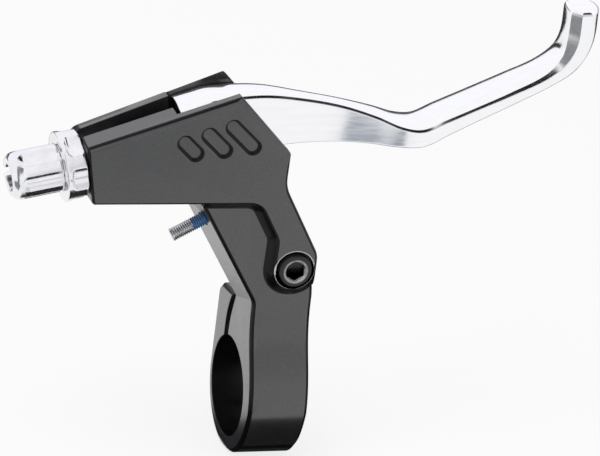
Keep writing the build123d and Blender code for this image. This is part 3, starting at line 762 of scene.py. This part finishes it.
class BRAKE_OT_lever(bpy.types.Operator):
    """Forged lever with its pivot arm, cable seat and slit"""

    bl_idname = "brake_lever.lever"
    bl_label = "Lever"
    # Sizes in millimetres: the arms' half widths, the eye and its bore, the cable's seat and its slit
    arm_halves = ((PIVOT_ARM, 2.6), (PIVOT_ARM_LOWER, 3.7))
    eye_profile = ((4.3, 0), (4.6, 0.3), (4.6, 8.7), (4.3, 9))
    eye_start = 4.5
    eye_bore = 3.23
    seat_bore = 3.6
    seat_distance = 27.6
    slit_corners = ((-1.1, -12.9), (1.1, -12.9), (1.1, 1.1), (-1.1, 1.1))
    slit_length = 24
    drill_length = 20
    shade_angle = 32

    def execute(self, context):
        mesh = lever_blade(context.scene.brake_lever_sizes)
        for rows, half in self.arm_halves:
            outline = rounded_outline(in_metres(rows))
            rings = []
            for side in (half * MM, -half * MM):
                rings.append([(PIVOT.x + p.x, PIVOT.y + side, PIVOT.z + p.y) for p in outline])
            mesh = combined(mesh, ring_mesh("arm", rings), "UNION")
        eye = turned_mesh("eye", in_metres(self.eye_profile), SCREW_SEGMENTS)
        mesh = combined(mesh, place_along(eye, PIVOT + REAR * self.eye_start * MM, FRONT), "UNION")
        seat = NOSE - CABLE_OUT * self.seat_distance * MM
        mesh = self.drilled(mesh, PIVOT, self.eye_bore)
        mesh = self.drilled(mesh, seat, self.seat_bore)
        across = Vector((CABLE_OUT.z, 0, -CABLE_OUT.x))
        rings = []
        for reach in (0, self.slit_length * MM):
            middle = seat + CABLE_OUT * reach
            rings.append([middle + REAR * y * MM + across * up * MM for y, up in self.slit_corners])
        mesh = combined(mesh, ring_mesh("slit", rings), "DIFFERENCE")
        mesh = shaded(mesh, self.shade_angle)
        material = alloy_material(context.scene.brake_lever_finish)
        new_piece("lever_forging", mesh, material, "lever", "polished_alloy", "lever")
        return {"FINISHED"}

    def drilled(self, mesh, middle, radius):
        """Cuts a bore across the lever."""
        drill = turned_mesh("drill", in_metres(((radius, 0), (radius, self.drill_length))), DRILL_SEGMENTS)
        start = middle + REAR * (self.drill_length / 2) * MM
        return combined(mesh, place_along(drill, start, FRONT), "DIFFERENCE")


class BRAKE_OT_bracket(bpy.types.Operator):
    """Cast bracket with its cheeks, clamp and ear, its edges rounded"""

    bl_idname = "brake_lever.bracket"
    bl_label = "Bracket"
    # Angles in degrees between faces: those that are one, lie in one strip, get a rounding, or shade smoothly
    same_face = 0.5
    same_strip = 4
    rounded_edges = (70, 100)
    soft_edge = 60
    shade_angle = 40
    # Where shade is painted besides the roundings: depth and top of the step, slope of the recesses' walls,
    # clamp's bore
    step_depths = (0.0104, 0.0121)
    step_top = 0.0485
    wall_slopes = (0.3, 0.9)
    bore_radius = 0.0115

    def execute(self, context):
        sizes = context.scene.brake_lever_sizes
        bm = bmesh.new()
        bm.from_mesh(frame["nodes"]["bracket"].data)
        bmesh.ops.remove_doubles(bm, verts=bm.verts, dist=MERGE_DISTANCE)
        flat = math.radians(self.same_face)
        bmesh.ops.dissolve_limit(bm, angle_limit=flat, verts=bm.verts, edges=bm.edges)
        weight = bm.edges.layers.float.new("bevel_weight_edge")
        low, high = self.rounded_edges
        for edge in bm.edges:
            edge[weight] = float(low < math.degrees(edge.calc_face_angle(0.0)) < high)
        mesh = bpy.data.meshes.new("bracket")
        bm.to_mesh(mesh)
        bm.free()
        mesh = baked(mesh, "BEVEL", width=sizes.bracket_edge, segments=2, limit_method="WEIGHT",
                     use_clamp_overlap=False)
        mesh = shaded(mesh, self.shade_angle, self.mark_painted_shade(mesh, sizes.painted_shade_radius))
        material = paint_material(context.scene.brake_lever_finish)
        new_piece("bracket_casting", mesh, material, "bracket", "black_paint", "bracket")
        return {"FINISHED"}

    def mark_painted_shade(self, mesh, radius):
        """Marks strips that bend sharply or lie deep for painted shade, which stands for shadow and dark
        reflections; gives their soft edges.
        """
        bm = bmesh.new()
        bm.from_mesh(mesh)
        painted_shade = [0.0] * len(bm.faces)
        soft_edges = set()
        soft = math.radians(self.soft_edge)
        left = set(bm.faces)
        while left:
            strip, border = self.flat_strip(left)
            area = sum(face.calc_area() for face in strip)
            turn = sum(edge.calc_face_angle_signed(0.0) * edge.calc_length() for edge in border)
            middle = sum((face.calc_center_median() for face in strip), Vector()) / len(strip)
            if abs(turn) * radius > 2 * area or self.takes_painted_shade(middle, strip[0].normal):
                for face in strip:
                    painted_shade[face.index] = 1.0
                soft_edges.update(edge.index for edge in border if edge.calc_face_angle(math.pi) < soft)
        bm.free()
        # The rounding attribute carries the painted shade to the paint
        mesh.attributes.new("rounding", "FLOAT", "FACE").data.foreach_set("value", painted_shade)
        return soft_edges

    def takes_painted_shade(self, middle, normal):
        """True on the step between arm and cheek, on the recesses' walls and in the clamp's bore, where shade
        is painted.
        """
        on_step = self.step_depths[0] < -middle.y < self.step_depths[1]
        sloped = self.wall_slopes[0] < abs(normal.y) < self.wall_slopes[1]
        in_bore = math.hypot(middle.y, middle.z) < self.bore_radius
        return on_step and (middle.z < self.step_top or sloped) or in_bore

    def flat_strip(self, left):
        """Takes a face and all that lie flat against it from the set; gives them and their border."""
        flat = math.radians(self.same_strip)
        strip = [left.pop()]
        border = []
        for face in strip:
            for edge in face.edges:
                others = [other for other in edge.link_faces if other is not face]
                if others and edge.calc_face_angle(math.pi) < flat:
                    if others[0] in left:
                        left.remove(others[0])
                        strip.append(others[0])
                else:
                    border.append(edge)
        return strip, border


class BRAKE_OT_adjuster(bpy.types.Operator):
    """Fluted cable adjuster with its thread, and the lock ring"""

    bl_idname = "brake_lever.adjuster"
    bl_label = "Cable adjuster"
    # In millimetres, the distance between a profile's points, and the slits' section and ends
    barrel_spacing = 0.2
    ring_spacing = 0.15
    slit_corners = ((0, -1), (12, -1), (12, 1), (0, 1))
    barrel_slit = (-12, 20)
    ring_slit = (-1, 8)

    def execute(self, context):
        sizes = context.scene.brake_lever_sizes
        material = plate_material(context.scene.brake_lever_finish)
        count = sizes.flute_count
        segments = count * FLUTE_SEGMENTS
        flutes = flute_tree()
        mesh = turned_mesh("barrel", rounded_profile(BARREL, self.barrel_spacing * MM), segments, True)
        mesh = through_tree(mesh, flutes, material, count=count, outer_radius=5.5 * MM, lift=2.4 * MM,
                            flute_radius=sizes.barrel_flute, flute_end=14.8 * MM, run_out=1.8 * MM)
        mesh = through_tree(mesh, thread_tree(), material, crest_radius=4.95 * MM, pitch=sizes.adjuster_pitch,
                            depth=0.3 * MM, start=-9.4 * MM, end=5.0 * MM)
        mesh = self.slit(mesh, self.barrel_slit)
        new_piece("adjuster_barrel", mesh, material, "adjuster", "bright_alloy", "barrel_adjuster")
        mesh = turned_mesh("ring", rounded_profile(RING, self.ring_spacing * MM), segments, True)
        mesh = through_tree(mesh, flutes, material, count=count, outer_radius=7.8 * MM, lift=3.9 * MM,
                            flute_radius=sizes.ring_flute, flute_end=4.1 * MM, run_out=1.0 * MM)
        mesh = self.slit(mesh, self.ring_slit)
        new_piece("adjuster_ring", mesh, material, "lock_ring", "bright_alloy", "adjuster_lock_ring")
        return {"FINISHED"}

    def slit(self, mesh, ends):
        """Cuts the slit that lets the cable in from the rear, and sets the body on the nose."""
        tool = ring_mesh("slit", [in_metres((*corner, end) for corner in self.slit_corners) for end in ends])
        mesh = place_along(combined(mesh, tool, "DIFFERENCE"), NOSE, CABLE_OUT)
        return shaded(mesh, TURNED_SHADE_ANGLE)


class BRAKE_OT_screws(bpy.types.Operator):
    """Pivot bolt and nut, clamp bolt, reach screw and the bushes in the lever's eye"""

    bl_idname = "brake_lever.screws"
    bl_label = "Screws"
    # Where the heads of the pivot bolt and the clamp bolt and the nut sit, and half the reach screw's length
    pivot_seat = PIVOT + FRONT * 6.3 * MM
    clamp_seat = Vector((0, 0.0094, 0.0154))
    nut_seat = PIVOT + REAR * 7.5 * MM
    half_reach_screw = 6.8 * MM
    # Ends of the locking patch from the reach screw's inner end, and the shading of the nut
    patch_ends = (2 * MM, 8.6 * MM)
    nut_shade_angle = 30
    # In millimetres, the distance between rings, the depth of the socket's mouth, and its pointed floor
    ring_spacing = 0.1
    mouth_depth = 0.25
    point_radius = 0.2
    point_depth = 0.15

    def execute(self, context):
        sizes = context.scene.brake_lever_sizes
        finish = context.scene.brake_lever_finish
        thread = thread_tree()
        black = black_steel_material(finish)
        zinc = zinc_material(finish)
        mesh = self.screw(thread, sizes.bolt_pitch, black, self.pivot_seat, FRONT, **PIVOT_BOLT)
        new_piece("pivot_bolt_turned", mesh, black, "bracket", "black_steel", "pivot_bolt")
        mesh = self.screw(thread, sizes.bolt_pitch, black, self.clamp_seat, REAR, **CLAMP_BOLT)
        new_piece("clamp_bolt_turned", mesh, black, "bracket", "black_steel", "clamp_bolt")
        mesh = place_along(turned_mesh("nut", in_metres(NUT), SCREW_SEGMENTS, True), self.nut_seat, REAR)
        mesh = shaded(mesh, self.nut_shade_angle)
        new_piece("pivot_nut_turned", mesh, zinc, "bracket", "plated_steel", "pivot_nut")
        low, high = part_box("reach_screw")
        middle = Vector(((low.x + high.x) / 2, PIVOT.y, (low.z + high.z) / 2))
        inner = middle - REACH_OUT * self.half_reach_screw
        patch = [inner.dot(REACH_OUT) + end for end in self.patch_ends]
        patched = zinc_material(finish, "patched_steel", patch)
        mesh = self.screw(thread, sizes.reach_pitch, zinc, inner, REACH_OUT, **REACH_SCREW)
        new_piece("reach_screw_threaded", mesh, patched, "reach_screw", "plated_steel", "reach_screw")
        bush = bush_material(finish)
        for node in ("pivot_bush_front", "pivot_bush_rear"):
            frame["nodes"][node].data.materials.clear()
            frame["nodes"][node].data.materials.append(bush)
        return {"FINISHED"}

    def screw(self, tree, pitch, material, origin, axis, rows, socket, cut):
        """Screw turned from its rows, with a hexagon socket and a thread, set at its place."""
        depth, start, end = in_metres([cut])[0]
        mesh = turned_mesh("screw", self.screw_profile(rows, *socket), SCREW_SEGMENTS)
        mesh = through_tree(mesh, tree, material, crest_radius=rows[1][0] * MM, pitch=pitch, depth=depth,
                            start=start, end=end)
        return shaded(place_along(mesh, origin, axis), TURNED_SHADE_ANGLE)

    def screw_profile(self, rows, flats, floor):
        """Profile of a screw, with a hexagon socket sunk from the last row to a pointed floor."""
        profile = rounded_outline(in_metres(rows))
        spaced = []
        for before, after in zip(profile, profile[1:]):
            parts = max(1, math.ceil(abs(after.y - before.y) / (self.ring_spacing * MM)))
            spaced.extend(tuple(before.lerp(after, part / parts)) for part in range(parts))
        spaced.append(tuple(profile[-1]))
        mouth = rows[-1][1] - self.mouth_depth
        socket = ((BEYOND_HEXAGON, mouth, flats), (BEYOND_HEXAGON, floor, flats),
                  (self.point_radius, floor - self.point_depth))
        return spaced + in_metres(socket)


class BRAKE_OT_stage(bpy.types.Operator):
    """White floor, soft light and the camera"""

    bl_idname = "brake_lever.stage"
    bl_label = "Stage"
    # Floor: its size, its tone, and how much of it glows where it is seen
    floor_size = (6.0, 6.0)
    floor_tone = (0.9, 0.9, 0.9)
    floor_glow = 0.8
    # Where the lamps point, and the camera's directions, target and width of view
    lamp_target = (0.0, 0.0, 0.04)
    camera_right = (0.9504, -0.2907, 0.1101)
    camera_back = (-0.31, -0.86, 0.4053)
    camera_target = (0.0036, -0.0056, 0.0402)
    camera_width = 130.43 * MM

    def execute(self, context):
        stage = context.scene.brake_lever_stage
        scene = context.scene
        scene.view_settings.view_transform = "Standard"
        self.floor()
        self.world(scene, stage)
        self.lamp(scene, "key", (-0.25, -0.25, 0.85), (0.6, 0.6), stage.key_power)
        self.lamp(scene, "side", (-0.75, -0.45, 0.25), (0.4, 0.5), stage.side_power)
        for row in CARDS:
            self.card(*row)
        self.camera(scene, stage)
        return {"FINISHED"}

    def seen(self, nodes):
        """One for rays that show the surroundings: from the camera, in reflections and through glass."""
        path = nodes.add("ShaderNodeLightPath")
        seen = nodes.math("MAXIMUM", path["Is Camera Ray"], path["Is Glossy Ray"])
        return nodes.math("MAXIMUM", seen, path["Is Transmission Ray"])

    def sheet(self, name, place, facing, size):
        """Rectangle of the stage; gives it with the writer of its empty material."""
        x, y = size[0] / 2, size[1] / 2
        mesh = bpy.data.meshes.new(name)
        mesh.from_pydata([(-x, -y, 0), (x, -y, 0), (x, y, 0), (-x, y, 0)], [], [(0, 1, 2, 3)])
        turn = Vector(facing).to_track_quat("Z", "Y").to_matrix().to_4x4()
        mesh.transform(Matrix.Translation(place) @ turn)
        material = bpy.data.materials.new(name)
        material.use_nodes = True
        material.node_tree.nodes.clear()
        mesh.materials.append(material)
        sheet = bpy.data.objects.new(name, mesh)
        bpy.context.scene.collection.objects.link(sheet)
        return sheet, NodeWriter(material.node_tree)

    def floor(self):
        """Large white floor under the lowest point; it keeps part of the shadow."""
        floor, nodes = self.sheet("floor", (0.0, 0.0, cad_box[0][2]), UP, self.floor_size)
        matt = nodes.add("ShaderNodeBsdfDiffuse", {"Color": self.floor_tone})[0]
        white = nodes.add("ShaderNodeEmission")[0]
        glow = nodes.math("MULTIPLY", self.seen(nodes), self.floor_glow)
        mix = nodes.add("ShaderNodeMixShader", {0: glow, 1: matt, 2: white})[0]
        nodes.add("ShaderNodeOutputMaterial", {0: mix})

    def world(self, scene, stage):
        """White surroundings, weaker as light than they look."""
        world = bpy.data.worlds.new("white_surroundings")
        world.use_nodes = True
        scene.world = world
        nodes = NodeWriter(world.node_tree)
        back = world.node_tree.nodes["Background"].inputs
        strength = nodes.math("MULTIPLY", self.seen(nodes), 1.0 - stage.fill_level)
        nodes.join((1.0, 1.0, 1.0), back["Color"])
        nodes.join(nodes.math("ADD", strength, stage.fill_level), back["Strength"])

    def lamp(self, scene, name, place, size, power):
        """Area lamp at a place, turned to the part."""
        data = bpy.data.lights.new(name, "AREA")
        data.shape = "RECTANGLE"
        data.size, data.size_y = size
        data.energy = power
        lamp = bpy.data.objects.new(name, data)
        lamp.location = place
        lamp.rotation_euler = (Vector(place) - Vector(self.lamp_target)).to_track_quat("Z", "Y").to_euler()
        lamp.visible_glossy = False
        scene.collection.objects.link(lamp)

    def card(self, name, place, facing, size, tone):
        """Card of one tone that only reflections show."""
        card, nodes = self.sheet(name, place, facing, size)
        nodes.add("ShaderNodeOutputMaterial", {0: nodes.add("ShaderNodeEmission", {"Color": tone})[0]})
        card.visible_camera = False
        card.visible_diffuse = False
        card.visible_shadow = False

    def camera(self, scene, stage):
        """Long lens at the photograph's viewing angle."""
        right = Vector(self.camera_right).normalized()
        back = Vector(self.camera_back).normalized()
        up = back.cross(right).normalized()
        right = up.cross(back)
        data = bpy.data.cameras.new("camera")
        data.lens = stage.lens
        data.sensor_width = 36.0
        data.clip_start = 0.01
        camera = bpy.data.objects.new("camera", data)
        place = Vector(self.camera_target) + back * (self.camera_width * stage.lens / data.sensor_width)
        camera.matrix_world = Matrix.Translation(place) @ Matrix((right, up, back)).transposed().to_4x4()
        scene.collection.objects.link(camera)
        scene.camera = camera


class BRAKE_PT_panel(bpy.types.Panel):
    """Lists the pieces and the stage"""

    bl_label = "Brake Lever"
    bl_idname = "BRAKE_PT_panel"
    bl_space_type = "VIEW_3D"
    bl_region_type = "UI"
    bl_category = "Brake Lever"

    def draw(self, context):
        for operator in OPERATORS:
            self.layout.operator(operator.bl_idname)


GROUPS = {"brake_lever_sizes": BrakeLeverSizes, "brake_lever_finish": BrakeLeverFinish,
          "brake_lever_stage": BrakeLeverStage}
OPERATORS = (BRAKE_OT_bracket, BRAKE_OT_lever, BRAKE_OT_adjuster, BRAKE_OT_screws, BRAKE_OT_stage)
CLASSES = (*GROUPS.values(), *OPERATORS, BRAKE_PT_panel)


def register():
    for item in CLASSES:
        bpy.utils.register_class(item)
    for label, group in GROUPS.items():
        setattr(bpy.types.Scene, label, bpy.props.PointerProperty(type=group))


def unregister():
    for label in GROUPS:
        delattr(bpy.types.Scene, label)
    for item in reversed(CLASSES):
        bpy.utils.unregister_class(item)


def main():
    register()
    bpy.ops.brake_lever.bracket()
    bpy.ops.brake_lever.lever()
    bpy.ops.brake_lever.adjuster()
    bpy.ops.brake_lever.screws()
    bpy.ops.brake_lever.stage()


if __name__ == "__main__":
    main()
